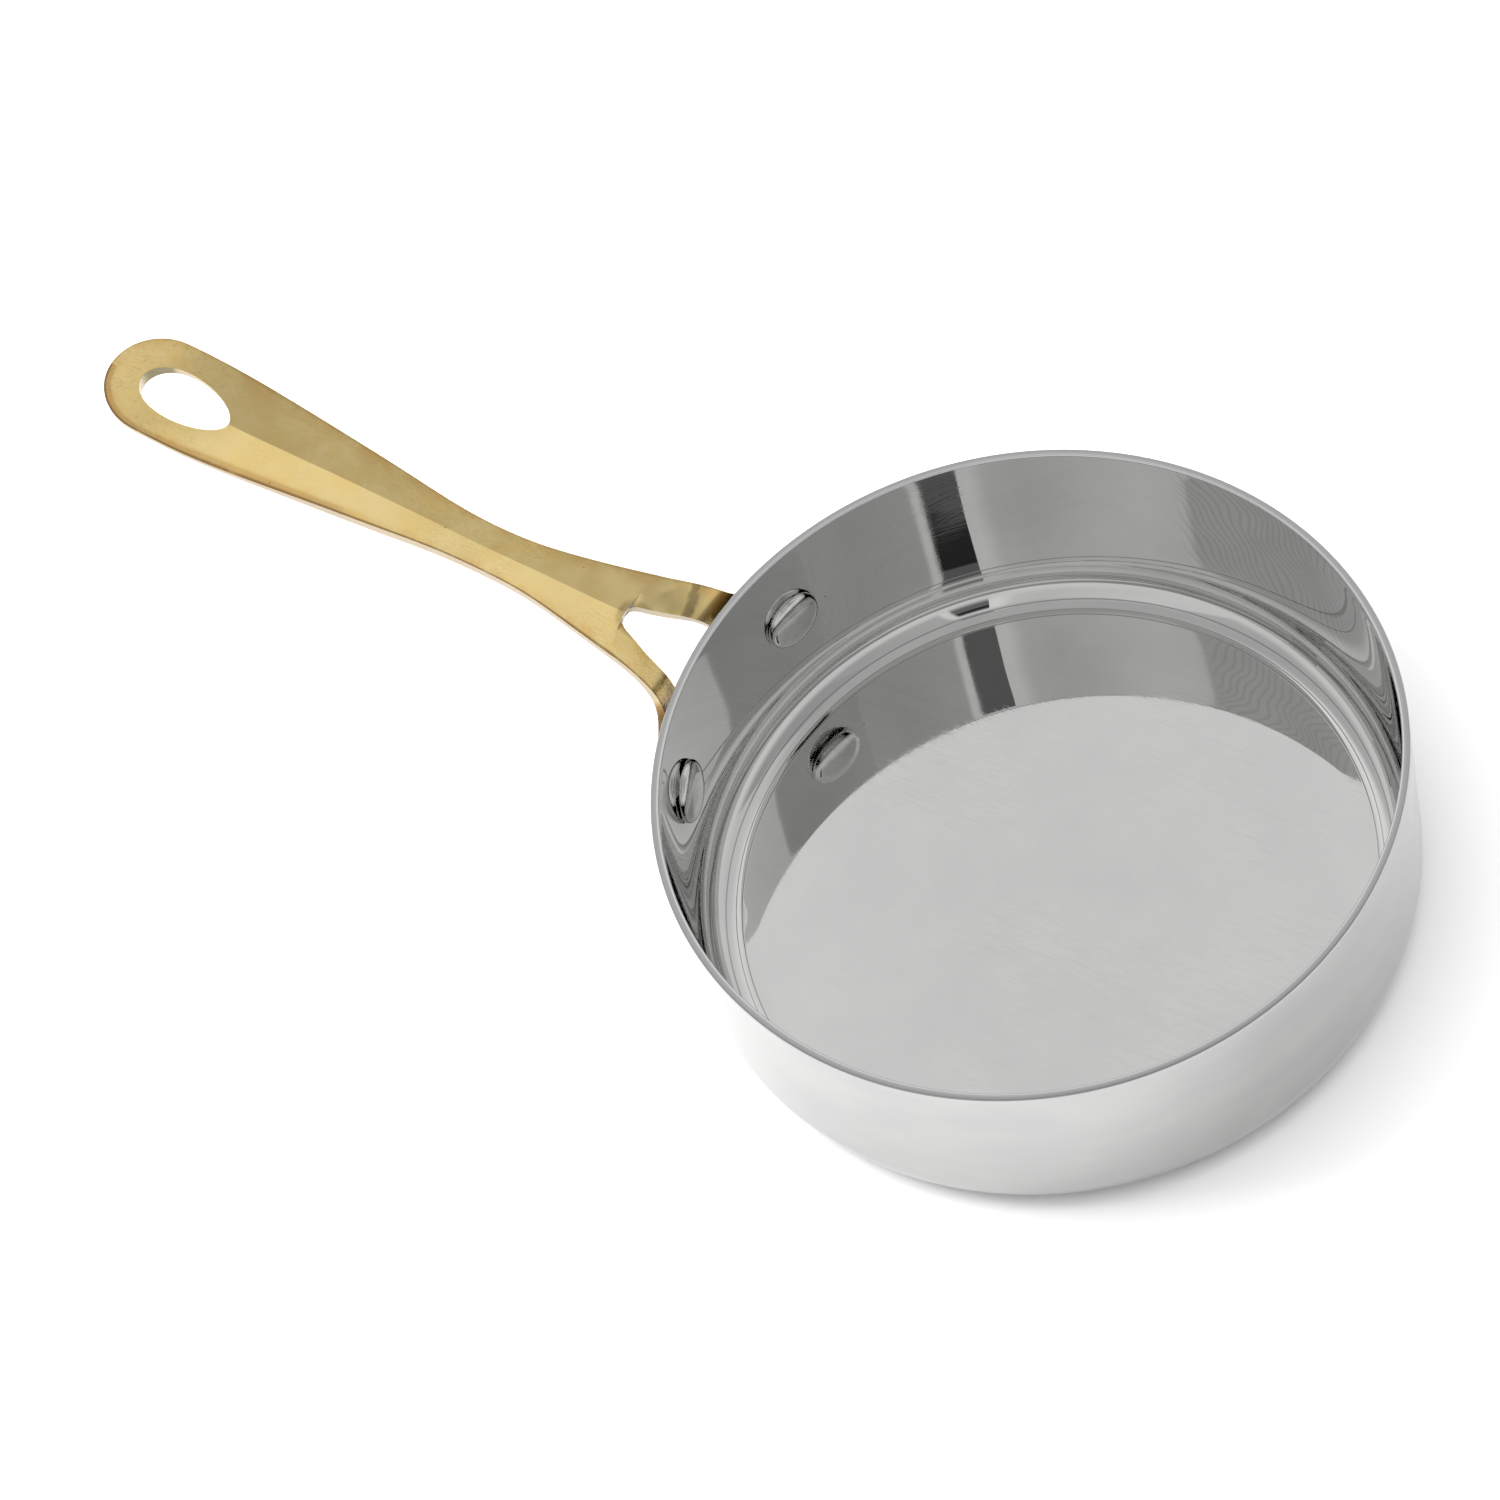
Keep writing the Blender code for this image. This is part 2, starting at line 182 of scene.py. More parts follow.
def groove_rings_and_shade(nodes, radius, inside):
    """Fine rings where the floor turns up into the wall, used as bumps and as painted shade in the colour;
    each has a radius and half width in mm.
    """
    groove_and_shade = 0.0
    for at, wide in ((86.3, 0.22), (87.9, 0.16), (90.6, 0.26), (94.4, 0.30)):
        gap = nodes.math("DIVIDE", nodes.math("SUBTRACT", radius, at * MM), wide * MM)
        pulse = nodes.math("SUBTRACT", 1.0, nodes.product(gap, gap), clamp=True)
        groove_and_shade = nodes.math("ADD", groove_and_shade, pulse)
    return nodes.product(groove_and_shade, inside)


def wiping_marks(nodes, place):
    """Fine scratches lying four ways."""
    marks = scratches(nodes, place, 0.5, 900.0, 26.0, 0.035, 1.3)
    for turn, dense, seed in ((1.25, 1100.0, 4.1), (2.1, 800.0, 7.7), (2.8, 1000.0, 9.2)):
        marks = nodes.math("MAXIMUM", marks, scratches(nodes, place, turn, dense, 24.0, 0.03, seed))
    return marks


def grey(value):
    return (value, value, value, 1)


def steel_material():
    """Mirror-polished sheet: rings at the corner, fine scratches on the floor, rougher outside with a darker
    base colour as painted shade.
    """
    material, nodes, shader, place = new_material("polished_steel")
    x, y, z = nodes.add("ShaderNodeSeparateXYZ", {0: place}).outputs
    radius = nodes.math("SQRT", nodes.math("ADD", nodes.product(x, x), nodes.product(y, y)))
    angle = nodes.math("ARCTAN2", y, x)
    cosine = nodes.math("COSINE", angle)
    sine = nodes.math("SINE", angle)
    outside = outside_mask(nodes, radius, z)
    inside = nodes.math("SUBTRACT", 1.0, outside)
    rim = nodes.ramp(z, PAN_HEIGHT - 0.38 * MM, PAN_HEIGHT - 0.15 * MM)
    floor = nodes.product(inside, nodes.ramp(radius, 86.5 * MM, 85.0 * MM))
    off_floor = nodes.math("SUBTRACT", 1.0, floor)

    # marks that run round the pan, so their patterns are stretched along the angle
    wall_lines = nodes.noise(nodes.combine(cosine, sine, nodes.product(z, 900.0)), 1.6, 3.0, 0.6)
    streak_place = nodes.combine(nodes.product(cosine, 7.0), nodes.product(sine, 7.0),
                                 nodes.product(z, 620.0))
    streaks = nodes.noise(streak_place, 1.0, 2.0, 0.55)
    slow = nodes.noise(nodes.combine(cosine, sine, nodes.product(z, 30.0)), 3.0, 2.0, 0.5)
    ring_place = nodes.combine(nodes.product(radius, 900.0), nodes.product(z, 900.0),
                               nodes.product(sine, 0.4))
    rings = nodes.noise(ring_place, 1.0, 2.0, 0.6)
    corner = nodes.product(nodes.ramp(radius, 84.0 * MM, 87.0 * MM), nodes.ramp(z, 17.0 * MM, 12.0 * MM),
                           inside)
    groove_and_shade = groove_rings_and_shade(nodes, radius, inside)
    painted_reflection = painted_reflection_bands(nodes, angle, z, inside)

    marks = wiping_marks(nodes, place)
    floor_marks = nodes.product(marks, floor)
    cloud = nodes.noise(place, 28.0, 4.0, 0.6)
    speck = nodes.add("ShaderNodeTexVoronoi", {"Vector": place, "Scale": 95.0}, feature="F1").outputs[0]
    speck_patches = nodes.ramp(nodes.noise(place, 33.0, 0.0), 0.64, 0.68)
    specks = nodes.product(nodes.ramp(speck, 0.030, 0.018), speck_patches)

    colour = nodes.mix(nodes.ramp(cloud, 0.3, 0.7), (0.655, 0.655, 0.650, 1), (0.700, 0.700, 0.692, 1))
    # painted reflection: the contour pattern darkens the base colour on one stretch of the inner wall
    colour = nodes.mix(nodes.product(painted_reflection, 0.30), colour, grey(0.36))
    # painted shade: the outer wall's base colour is set darker than the inside's, so it reflects the floor
    # darker
    outside_painted_shade = nodes.mix(nodes.ramp(slow, 0.3, 0.7), (0.425, 0.425, 0.423, 1), (0.46, 0.46, 0.455, 1))
    # painted shade: the groove rings also darken the base colour into dark lines
    colour = nodes.mix(nodes.product(groove_and_shade, 0.55), colour, grey(0.16))
    colour = nodes.mix(nodes.product(floor_marks, 0.14), colour, grey(0.40))
    colour = nodes.mix(outside, colour, outside_painted_shade)
    colour = nodes.mix(nodes.product(rim, 0.75), colour, grey(0.44))
    # painted highlight: a light line along the inner edge of the rim's top
    rim_highlight_line = nodes.product(rim, nodes.ramp(radius, RIM_RADIUS - 1.55 * MM, RIM_RADIUS - 1.8 * MM))
    colour = nodes.mix(nodes.product(rim_highlight_line, 0.7), colour, grey(0.88))
    colour = nodes.mix(nodes.product(specks, 0.8), colour, (0.06, 0.055, 0.05, 1))
    nodes.put(shader.inputs["Base Color"], colour)
    shader.inputs["Metallic"].default_value = 1.0

    haze = nodes.ramp(cloud, 0.3, 0.75, 0.014, 0.030)
    floor_rough = nodes.math("ADD", haze, nodes.product(marks, 0.03))
    wall_rough = nodes.ramp(slow, 0.3, 0.7, 0.008, 0.016)
    outside_rough = nodes.ramp(slow, 0.3, 0.7, 0.12, 0.18)
    rough = nodes.mix_value(outside, wall_rough, outside_rough)
    rough = nodes.mix_value(floor, rough, floor_rough)
    rough = nodes.mix_value(rim, rough, 0.26)
    nodes.put(shader.inputs["Roughness"], rough)

    # heights of the marks; the order matters, as each bump bends the one before it
    normal = None
    for height, distance in ((nodes.product(wall_lines, off_floor), 0.0006 * MM),
                             (nodes.product(streaks, off_floor), 0.0010 * MM),
                             (nodes.product(rings, corner), 0.005 * MM),
                             (groove_and_shade, 0.03 * MM),
                             (floor_marks, 0.0009 * MM)):
        normal = nodes.bump(height, distance, normal=normal)
    nodes.put(shader.inputs["Normal"], normal)
    return material


def rivet_material():
    """Polished heads with a light haze and a few fine scratches."""
    material, nodes, shader, place = new_material("rivet_steel")
    cloud = nodes.noise(place, 400.0, 4.0, 0.6)
    colour = nodes.mix(nodes.ramp(cloud, 0.3, 0.7), (0.62, 0.62, 0.61, 1), (0.72, 0.72, 0.71, 1))
    nodes.put(shader.inputs["Base Color"], colour)
    shader.inputs["Metallic"].default_value = 1.0
    nodes.put(shader.inputs["Roughness"], nodes.ramp(cloud, 0.3, 0.7, 0.035, 0.085))
    marks = scratches(nodes, place, 0.9, 2600.0, 22.0, 0.04, 2.2)
    nodes.put(shader.inputs["Normal"], nodes.bump(marks, 0.004 * MM))
    return material


def brass_edges(nodes, colour, x, y, edge, stain, side_face):
    """Warm tint towards the arm's edges, and a painted reflection of dark along them, most on the -Y edge,
    broken up by stain noise.
    """
    warm = nodes.math("MULTIPLY", nodes.ramp(edge, 0.55, 1.0), nodes.ramp(stain, 0.35, 0.6), clamp=True)
    colour = nodes.mix(nodes.product(warm, 0.5), colour, (0.74, 0.44, 0.14, 1))
    minus_y = nodes.math("GREATER_THAN", 0.0, y)
    wide_end = nodes.ramp(x, -196.0 * MM, -206.0 * MM)
    # painted reflection: a darker warm strip along the -Y edge at the wide end
    near_edge_painted_reflection = nodes.product(nodes.ramp(edge, 0.74, 0.86), minus_y, wide_end)
    colour = nodes.mix(nodes.product(near_edge_painted_reflection, 0.6), colour, (0.56, 0.34, 0.12, 1))
    # painted reflection: a dark line along the top edges, broken up by stain noise, stronger on the -Y edge
    line = nodes.product(nodes.ramp(edge, 0.90, 0.97), nodes.ramp(stain, 0.25, 0.5, 0.55, 1.0))
    line = nodes.product(line, nodes.mix_value(minus_y, 0.2, 0.75), nodes.math("SUBTRACT", 1.0, side_face))
    return nodes.mix(line, colour, (0.20, 0.11, 0.04, 1))


def brass_dark_patches(nodes, colour, x, y, bend, stain):
    """Brown where the legs bend down the wall, in the crotch of the fork, and one smear on a leg."""
    # darker brown where the legs bend down the wall
    dark = nodes.product(bend, nodes.ramp(stain, 0.3, 0.62, 0.35, 1.0))
    colour = nodes.mix(nodes.product(dark, 0.75), colour, (0.16, 0.085, 0.03, 1))
    along = nodes.math("DIVIDE", nodes.math("ADD", x, 118.5 * MM), 6.0 * MM)
    across = nodes.math("DIVIDE", y, 6.2 * MM)
    from_fork = nodes.math("SQRT", nodes.math("ADD", nodes.math("POWER", along, 2.0),
                                              nodes.math("POWER", across, 2.0)))
    # darker brown round the crotch of the fork
    fork_dark_patch = nodes.product(nodes.ramp(from_fork, 1.0, 0.70), nodes.ramp(stain, 0.3, 0.6, 0.4, 1.0))
    colour = nodes.mix(nodes.product(fork_dark_patch, 0.55), colour, (0.15, 0.08, 0.03, 1))
    ragged = nodes.product(nodes.math("SUBTRACT", stain, 0.5), 6.0 * MM)
    from_smear = nodes.math("ABSOLUTE", nodes.math("ADD", nodes.math("ADD", x, 108.5 * MM), ragged))
    smear = nodes.product(nodes.ramp(from_smear, 1.9 * MM, 0.9 * MM), nodes.ramp(y, 4.0 * MM, 6.0 * MM))
    return nodes.mix(nodes.product(smear, 0.55), colour, (0.22, 0.15, 0.08, 1))


def brass_material():
    """Cast brass: warm tint and painted reflection by the edges, darker brown by the pan, pits, fine
    scratches.
    """
    material, nodes, shader, place = new_material("cast_brass")
    x, y = nodes.add("ShaderNodeSeparateXYZ", {0: place}).outputs[:2]
    cloud = nodes.noise(place, 45.0, 4.0, 0.6, 0.4)
    stain = nodes.noise(place, 140.0, 5.0, 0.65)
    long_marks = scratches(nodes, place, 0.03, 1500.0, 40.0, 0.05, 3.1)
    cross_marks = scratches(nodes, place, 1.2, 1300.0, 18.0, 0.04, 5.3)
    marks = nodes.math("MAXIMUM", long_marks, cross_marks)
    pit = nodes.add("ShaderNodeTexVoronoi", {"Vector": place, "Scale": 260.0}, feature="F1").outputs[0]
    pit_patches = nodes.ramp(nodes.noise(place, 70.0, 1.0), 0.56, 0.62)
    pits = nodes.product(nodes.ramp(pit, 0.10, 0.05), pit_patches)
    edge = nodes.add("ShaderNodeAttribute", attribute_name="edge").outputs["Fac"]
    bend = nodes.add("ShaderNodeAttribute", attribute_name="bend").outputs["Fac"]
    surface_normal = nodes.add("ShaderNodeTexCoord").outputs["Normal"]
    upward = nodes.add("ShaderNodeSeparateXYZ", {0: surface_normal}).outputs[2]
    side_face = nodes.ramp(nodes.math("ABSOLUTE", upward), 0.5, 0.25)

    colour = nodes.mix(nodes.ramp(cloud, 0.35, 0.68), (0.85, 0.64, 0.270, 1), (0.92, 0.73, 0.345, 1))
    blush = nodes.ramp(nodes.noise(place, 85.0, 3.0, 0.6), 0.50, 0.72)
    colour = nodes.mix(nodes.product(blush, 0.5), colour, (0.90, 0.63, 0.225, 1))
    colour = brass_edges(nodes, colour, x, y, edge, stain, side_face)
    colour = brass_dark_patches(nodes, colour, x, y, bend, stain)
    round_end = nodes.ramp(x, -236.0 * MM, -252.0 * MM)
    mottle = nodes.product(nodes.ramp(nodes.noise(place, 620.0, 4.0, 0.7), 0.50, 0.72), round_end)
    colour = nodes.mix(nodes.product(mottle, 0.28), colour, (0.34, 0.22, 0.09, 1))
    colour = nodes.mix(nodes.product(pits, 0.6), colour, (0.30, 0.18, 0.07, 1))
    # greyer sides, and painted shade: a dark patch on the slot's wall at its end nearer the tip
    colour = nodes.mix(nodes.product(side_face, 0.85), colour, (0.37, 0.32, 0.26, 1))
    slot_place = nodes.product(nodes.ramp(x, -260.5 * MM, -263.0 * MM), nodes.ramp(y, -1.0 * MM, 3.0 * MM))
    slot_painted_shade = nodes.product(slot_place, side_face, nodes.ramp(edge, 0.3, 0.1))
    colour = nodes.mix(nodes.product(slot_painted_shade, 0.75), colour, (0.11, 0.10, 0.05, 1))
    nodes.put(shader.inputs["Base Color"], colour)
    shader.inputs["Metallic"].default_value = 1.0

    rough = nodes.ramp(cloud, 0.3, 0.7, 0.17, 0.27)
    nodes.put(shader.inputs["Roughness"], nodes.math("ADD", rough, nodes.product(marks, 0.12)))
    normal = nodes.bump(nodes.noise(place, 60.0, 2.0, 0.5), 0.10 * MM)
    normal = nodes.bump(nodes.math("SUBTRACT", 1.0, pits), 0.05 * MM, normal=normal)
    nodes.put(shader.inputs["Normal"], nodes.bump(marks, 0.008 * MM, normal=normal))
    return material


# ---- shapes -------------------------------------------------------------------------------
def arc(centre_r, centre_z, radius, start, end, count):
    angles = np.radians(np.linspace(start, end, count))
    return [(centre_r + radius * math.cos(a), centre_z + radius * math.sin(a)) for a in angles]


def wall_radius(height):
    share = (height - CORNER_RADIUS) / (PAN_HEIGHT - CORNER_RADIUS)
    return BASE_RADIUS + (RIM_RADIUS - BASE_RADIUS) * share


def pan_profile():
    """Section of the pan: down the outside, across the underside, back up the inside."""
    inner_corner = CORNER_RADIUS - SHEET
    outer_top = PAN_HEIGHT - RIM_ROUND
    points = arc(RIM_RADIUS - RIM_ROUND, outer_top, RIM_ROUND, 90, 0, 8)
    points += [(wall_radius(z), z) for z in np.linspace(outer_top, CORNER_RADIUS, 24)[1:-1]]
    points += arc(BASE_RADIUS - CORNER_RADIUS, CORNER_RADIUS, CORNER_RADIUS, 0, -90, 28)
    points += [(r, 0.0) for r in (0.08, 0.06, 0.03, 0.0)]
    points += [(r, SHEET) for r in (0.0, 0.02, 0.04, 0.06, 0.075, 0.082)]
    points += arc(BASE_RADIUS - CORNER_RADIUS, CORNER_RADIUS, inner_corner, -90, 0, 28)
    points += [(wall_radius(z) - SHEET, z) for z in np.linspace(CORNER_RADIUS, outer_top, 24)[1:-1]]
    points += arc(RIM_RADIUS - SHEET + RIM_ROUND, outer_top, RIM_ROUND, 180, 90, 8)
    return points


def turned_mesh(name, profile, steps, closed, wobble=None):
    """Mesh of a (radius, height) section turned about Z; points on the axis become one vertex."""
    mesh = bpy.data.meshes.new(name)
    bm = bmesh.new()
    rings = []
    for r, z in profile:
        if r == 0.0:
            rings.append([bm.verts.new((0.0, 0.0, z))] * steps)
            continue
        ring = []
        for k in range(steps):
            a = 2.0 * math.pi * k / steps
            out = r + (wobble(a, r, z) if wobble else 0.0)
            ring.append(bm.verts.new((out * math.cos(a), out * math.sin(a), z)))
        rings.append(ring)
    pairs = list(zip(rings, rings[1:]))
    if closed:
        pairs.append((rings[-1], rings[0]))
    for upper, lower in pairs:
        for k in range(steps):
            corners = []
            for vert in (upper[k], lower[k], lower[(k + 1) % steps], upper[(k + 1) % steps]):
                if vert not in corners:
                    corners.append(vert)
            if len(corners) > 2:
                bm.faces.new(corners)
    bmesh.ops.recalc_face_normals(bm, faces=bm.faces)
    for face in bm.faces:
        face.smooth = True
    bm.to_mesh(mesh)
    bm.free()
    return mesh


def sheet_wobble(angle, radius, height):
    """A few hundredths of a millimetre of unevenness, as in any spun wall."""
    rise = min(max((height - 0.012) / 0.03, 0.0), 1.0) * min(max((PAN_HEIGHT - height) / 0.006, 0.0), 1.0)
    wave = 0.5 * math.sin(5 * angle + 0.8 + 30.0 * height) + 0.35 * math.sin(11 * angle + 2.1 - 60.0 * height)
    wave += 0.22 * math.sin(19 * angle + 4.0 + 90.0 * height)
    return 0.00003 * rise * wave


def add_piece(name, mesh, material, slot, *replaced):
    obj = bpy.data.objects.new(name, mesh)
    bpy.context.scene.collection.objects.link(obj)
    obj.data.materials.append(material)
    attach(obj, "root")
    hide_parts(*replaced)
    return obj


# handle: reach from the pan axis, half width, height of the edge above the rim, in mm
ARM_TABLE = np.array([
    (277.7, 0.0, 39.0), (264.0, 15.1, 36.3), (250.0, 15.1, 32.6), (230.0, 13.6, 27.8),
    (210.0, 11.4, 23.3), (190.0, 9.1, 18.4), (175.0, 7.4, 14.6), (160.0, 7.0, 11.2),
    (150.0, 7.6, 9.4), (140.0, 9.2, 7.5), (130.0, 11.3, 5.5), (119.5, 13.6, 3.8),
]) * MM
LEG_INNER = np.array([
    (121.9, 0.0, 2.6), (121.8, 1.5, 2.55), (120.9, 3.0, 1.9), (118.2, 4.4, 0.5),
    (114.0, 6.2, -1.5), (110.0, 7.8, -2.9), (106.0, 9.2, -4.7), (103.4, 10.3, -7.6),
    (101.3, 11.8, -12.2), (100.2, 14.6, -18.5),
]) * MM
LEG_OUTER = np.array([
    (119.5, 13.6, 3.8), (118.2, 13.85, 3.6), (116.2, 14.3, 3.3), (112.6, 15.3, 2.6),
    (109.0, 16.4, 1.6), (105.9, 17.5, 0.2), (103.3, 18.7, -1.9), (101.2, 20.9, -5.1),
    (100.2, 26.0, -10.2),
]) * MM
CROTCH_REACH = 121.9 * MM
TIP_RADIUS = 15.1 * MM
HOLE_CENTRE = 255.2 * MM
HOLE_HALF_LENGTH = 12.9 * MM
HOLE_HALF_WIDTH = 7.4 * MM
HOLE_TAPER = 0.12
HOLE_THIN = 0.6
HOLE_THICK = 1.25
TIP_EDGE_SHARE = 0.5
LEG_EDGE_SHARE = 0.8
TROUGH_SLOPE = 0.17
WAIST_SLOPE = 0.08
EAR_RADIUS = 10.4 * MM
EAR_HEADING = math.radians(-45.0)
RIVET_ANGLE = math.radians(17.9)
RIVET_DEPTH = 25.4 * MM
SHANK_RADIUS = 3.2 * MM
OUTER_HEAD_RADIUS = 7.2 * MM
OUTER_HEAD_HEIGHT = 3.2 * MM
OUTER_HEAD_EDGE = 0.9 * MM
INNER_HEAD_RADIUS = 8.7 * MM
INNER_HEAD_HEIGHT = 3.5 * MM
INNER_HEAD_EDGE = 0.6 * MM
HOLE_ROWS = 49
ARM_ROWS = 70
LEG_ROWS = 90
EDGE_ROUND = 0.6 * MM


def natural_spline(rows, count):
    """Smooth curve through the given rows, resampled at equal parameter steps."""
    rows = np.asarray(rows, float)
    knots = np.r_[0.0, np.cumsum(np.linalg.norm(np.diff(rows, axis=0), axis=1))]
    steps = np.diff(knots)
    size = len(rows)
    matrix = np.eye(size)
    right = np.zeros_like(rows)
    for i in range(1, size - 1):
        matrix[i, i - 1:i + 2] = (steps[i - 1], 2.0 * (steps[i - 1] + steps[i]), steps[i])
        right[i] = 6.0 * ((rows[i + 1] - rows[i]) / steps[i] - (rows[i] - rows[i - 1]) / steps[i - 1])
    bend = np.linalg.solve(matrix, right)
    out = []
    for t in np.linspace(0.0, knots[-1], count):
        i = min(int(np.searchsorted(knots, t, side="right")) - 1, size - 2)
        h = steps[i]
        a = (knots[i + 1] - t) / h
        b = 1.0 - a
        curve = (a ** 3 - a) * bend[i] + (b ** 3 - b) * bend[i + 1]
        out.append(a * rows[i] + b * rows[i + 1] + curve * h * h / 6.0)
    return np.array(out)


EDGE_CURVE = natural_spline(ARM_TABLE[:, [0, 2]], 400)[::-1]
WIDTH_CURVE = natural_spline(ARM_TABLE[1:, :2], 400)[::-1]


def edge_height(reach):
    return float(np.interp(reach, EDGE_CURVE[:, 0], EDGE_CURVE[:, 1]))


def arm_half_width(reach):
    return float(np.interp(reach, WIDTH_CURVE[:, 0], WIDTH_CURVE[:, 1]))


def flush_reach(height):
    return wall_radius(PAN_HEIGHT + height) + FIT_GAP


def smooth_step(value):
    value = min(max(value, 0.0), 1.0)
    return value * value * (3.0 - 2.0 * value)


def top_height(reach, side):
    """Height of the arm's top face: the trough falls from the edges to the middle."""
    past_centre = reach - (HANDLE_TIP - TIP_RADIUS)
    if past_centre > 0.0:
        half_width = math.sqrt(max(TIP_RADIUS ** 2 - past_centre ** 2, 0.0))
    else:
        half_width = arm_half_width(reach)
    slope = TROUGH_SLOPE * smooth_step((266.0 * MM - reach) / (28.0 * MM))
    slope += (WAIST_SLOPE - TROUGH_SLOPE) * smooth_step((238.0 * MM - reach) / (65.0 * MM))
    return edge_height(reach) - slope * max(half_width - side, 0.0)


def hole_stations(count):
    pairs = []
    tip_centre = HANDLE_TIP - TIP_RADIUS
    for angle in np.linspace(0.0, math.pi, count):
        reach = HOLE_CENTRE + HOLE_HALF_LENGTH * math.cos(angle)
        side = HOLE_HALF_WIDTH * math.sin(angle) * (1.0 + HOLE_TAPER * math.cos(angle))
        turn = angle * 0.9
        if turn < math.pi / 2:
            outer = (tip_centre + TIP_RADIUS * math.cos(turn), TIP_RADIUS * math.sin(turn))
        else:
            share = (turn - math.pi / 2) / (0.4 * math.pi)
            outer_reach = tip_centre + (HOLE_CENTRE - HOLE_HALF_LENGTH - 1.5 * MM - tip_centre) * share
            outer = (outer_reach, arm_half_width(outer_reach))
        pairs.append(((reach, side if 0 < angle < math.pi else 0.0), outer))
    return pairs


def leg_stations(count):
    rivet_side = flush_reach(-RIVET_DEPTH) * math.sin(RIVET_ANGLE)
    along = np.array([math.cos(EAR_HEADING), math.sin(EAR_HEADING)])
    across = np.array([-along[1], along[0]])
    inner = [tuple(row) for row in LEG_INNER]
    outer = [tuple(row) for row in LEG_OUTER]
    for angle in np.radians((5.0, 25.0, 45.0, 63.0, 79.0)):
        for side, curve in ((-1.0, inner), (1.0, outer)):
            point = np.array([rivet_side, -RIVET_DEPTH])
            point = point + EAR_RADIUS * (side * math.cos(angle) * across + math.sin(angle) * along)
            curve.append((flush_reach(point[1]), point[0], point[1]))
    inner = natural_spline(inner, count)
    outer = natural_spline(outer, count)
    for curve in (inner, outer):
        curve[:, 0] = [max(row[0], flush_reach(row[2])) for row in curve]
    return list(zip(inner, outer))


def handle_rows():
    """(inner point, outer point, thickness shares, darkness at the bend) from tip to ear."""
    rows = []
    hole = hole_stations(HOLE_ROWS)
    start = (hole[-1][0][0], hole[-1][1][0])
    arm = []
    for share in np.linspace(0.0, 1.0, ARM_ROWS)[1:]:
        outer = start[1] + (ARM_TABLE[-1, 0] - start[1]) * share
        arm.append(((start[0] + (CROTCH_REACH - start[0]) * share, 0.0), (outer, arm_half_width(outer))))
    for index, (inner, outer) in enumerate(hole + arm):
        share = HOLE_THIN + (1.0 - HOLE_THIN) * smooth_step((index - HOLE_ROWS + 1) / 22.0)
        share += (HOLE_THICK - HOLE_THIN) * smooth_step((27 - index) / 27.0)
        edge = TIP_EDGE_SHARE + (1.0 - TIP_EDGE_SHARE) * smooth_step((250.0 * MM - outer[0]) / (60.0 * MM))
        edge -= (1.0 - LEG_EDGE_SHARE) * smooth_step((150.0 * MM - outer[0]) / (30.0 * MM))
        rows.append(((*inner, top_height(*inner)), (*outer, top_height(*outer)), share, edge, 0.0))
    for inner, outer in leg_stations(LEG_ROWS)[1:]:
        flush = smooth_step((113.0 * MM - outer[0]) / (9.0 * MM))
        edge = LEG_EDGE_SHARE + (1.0 - LEG_EDGE_SHARE) * flush
        dark = smooth_step((107.0 * MM - 0.5 * (inner[0] + outer[0])) / (5.0 * MM))
        rows.append((tuple(inner), tuple(outer), 1.0, edge, dark))
    return rows


def row_directions(rows):
    middle = [((row[0][0] + row[1][0]) / 2.0, (row[0][2] + row[1][2]) / 2.0) for row in rows]
    out = []
    for index in range(len(rows)):
        before = middle[max(index - 1, 0)]
        after = middle[min(index + 1, len(rows) - 1)]
        run = np.array([after[0] - before[0], after[1] - before[1]])
        if rows[index][1][0] > ARM_TABLE[-1, 0]:
            run = np.array([-1.0, 0.0])
        run = run / np.linalg.norm(run)
        out.append(np.array([-run[1], run[0]]))
    for _ in range(20):
        out = [out[0]] + [a + b + c for a, b, c in zip(out, out[1:], out[2:])] + [out[-1]]
        out = [way / np.linalg.norm(way) for way in out]
    return out


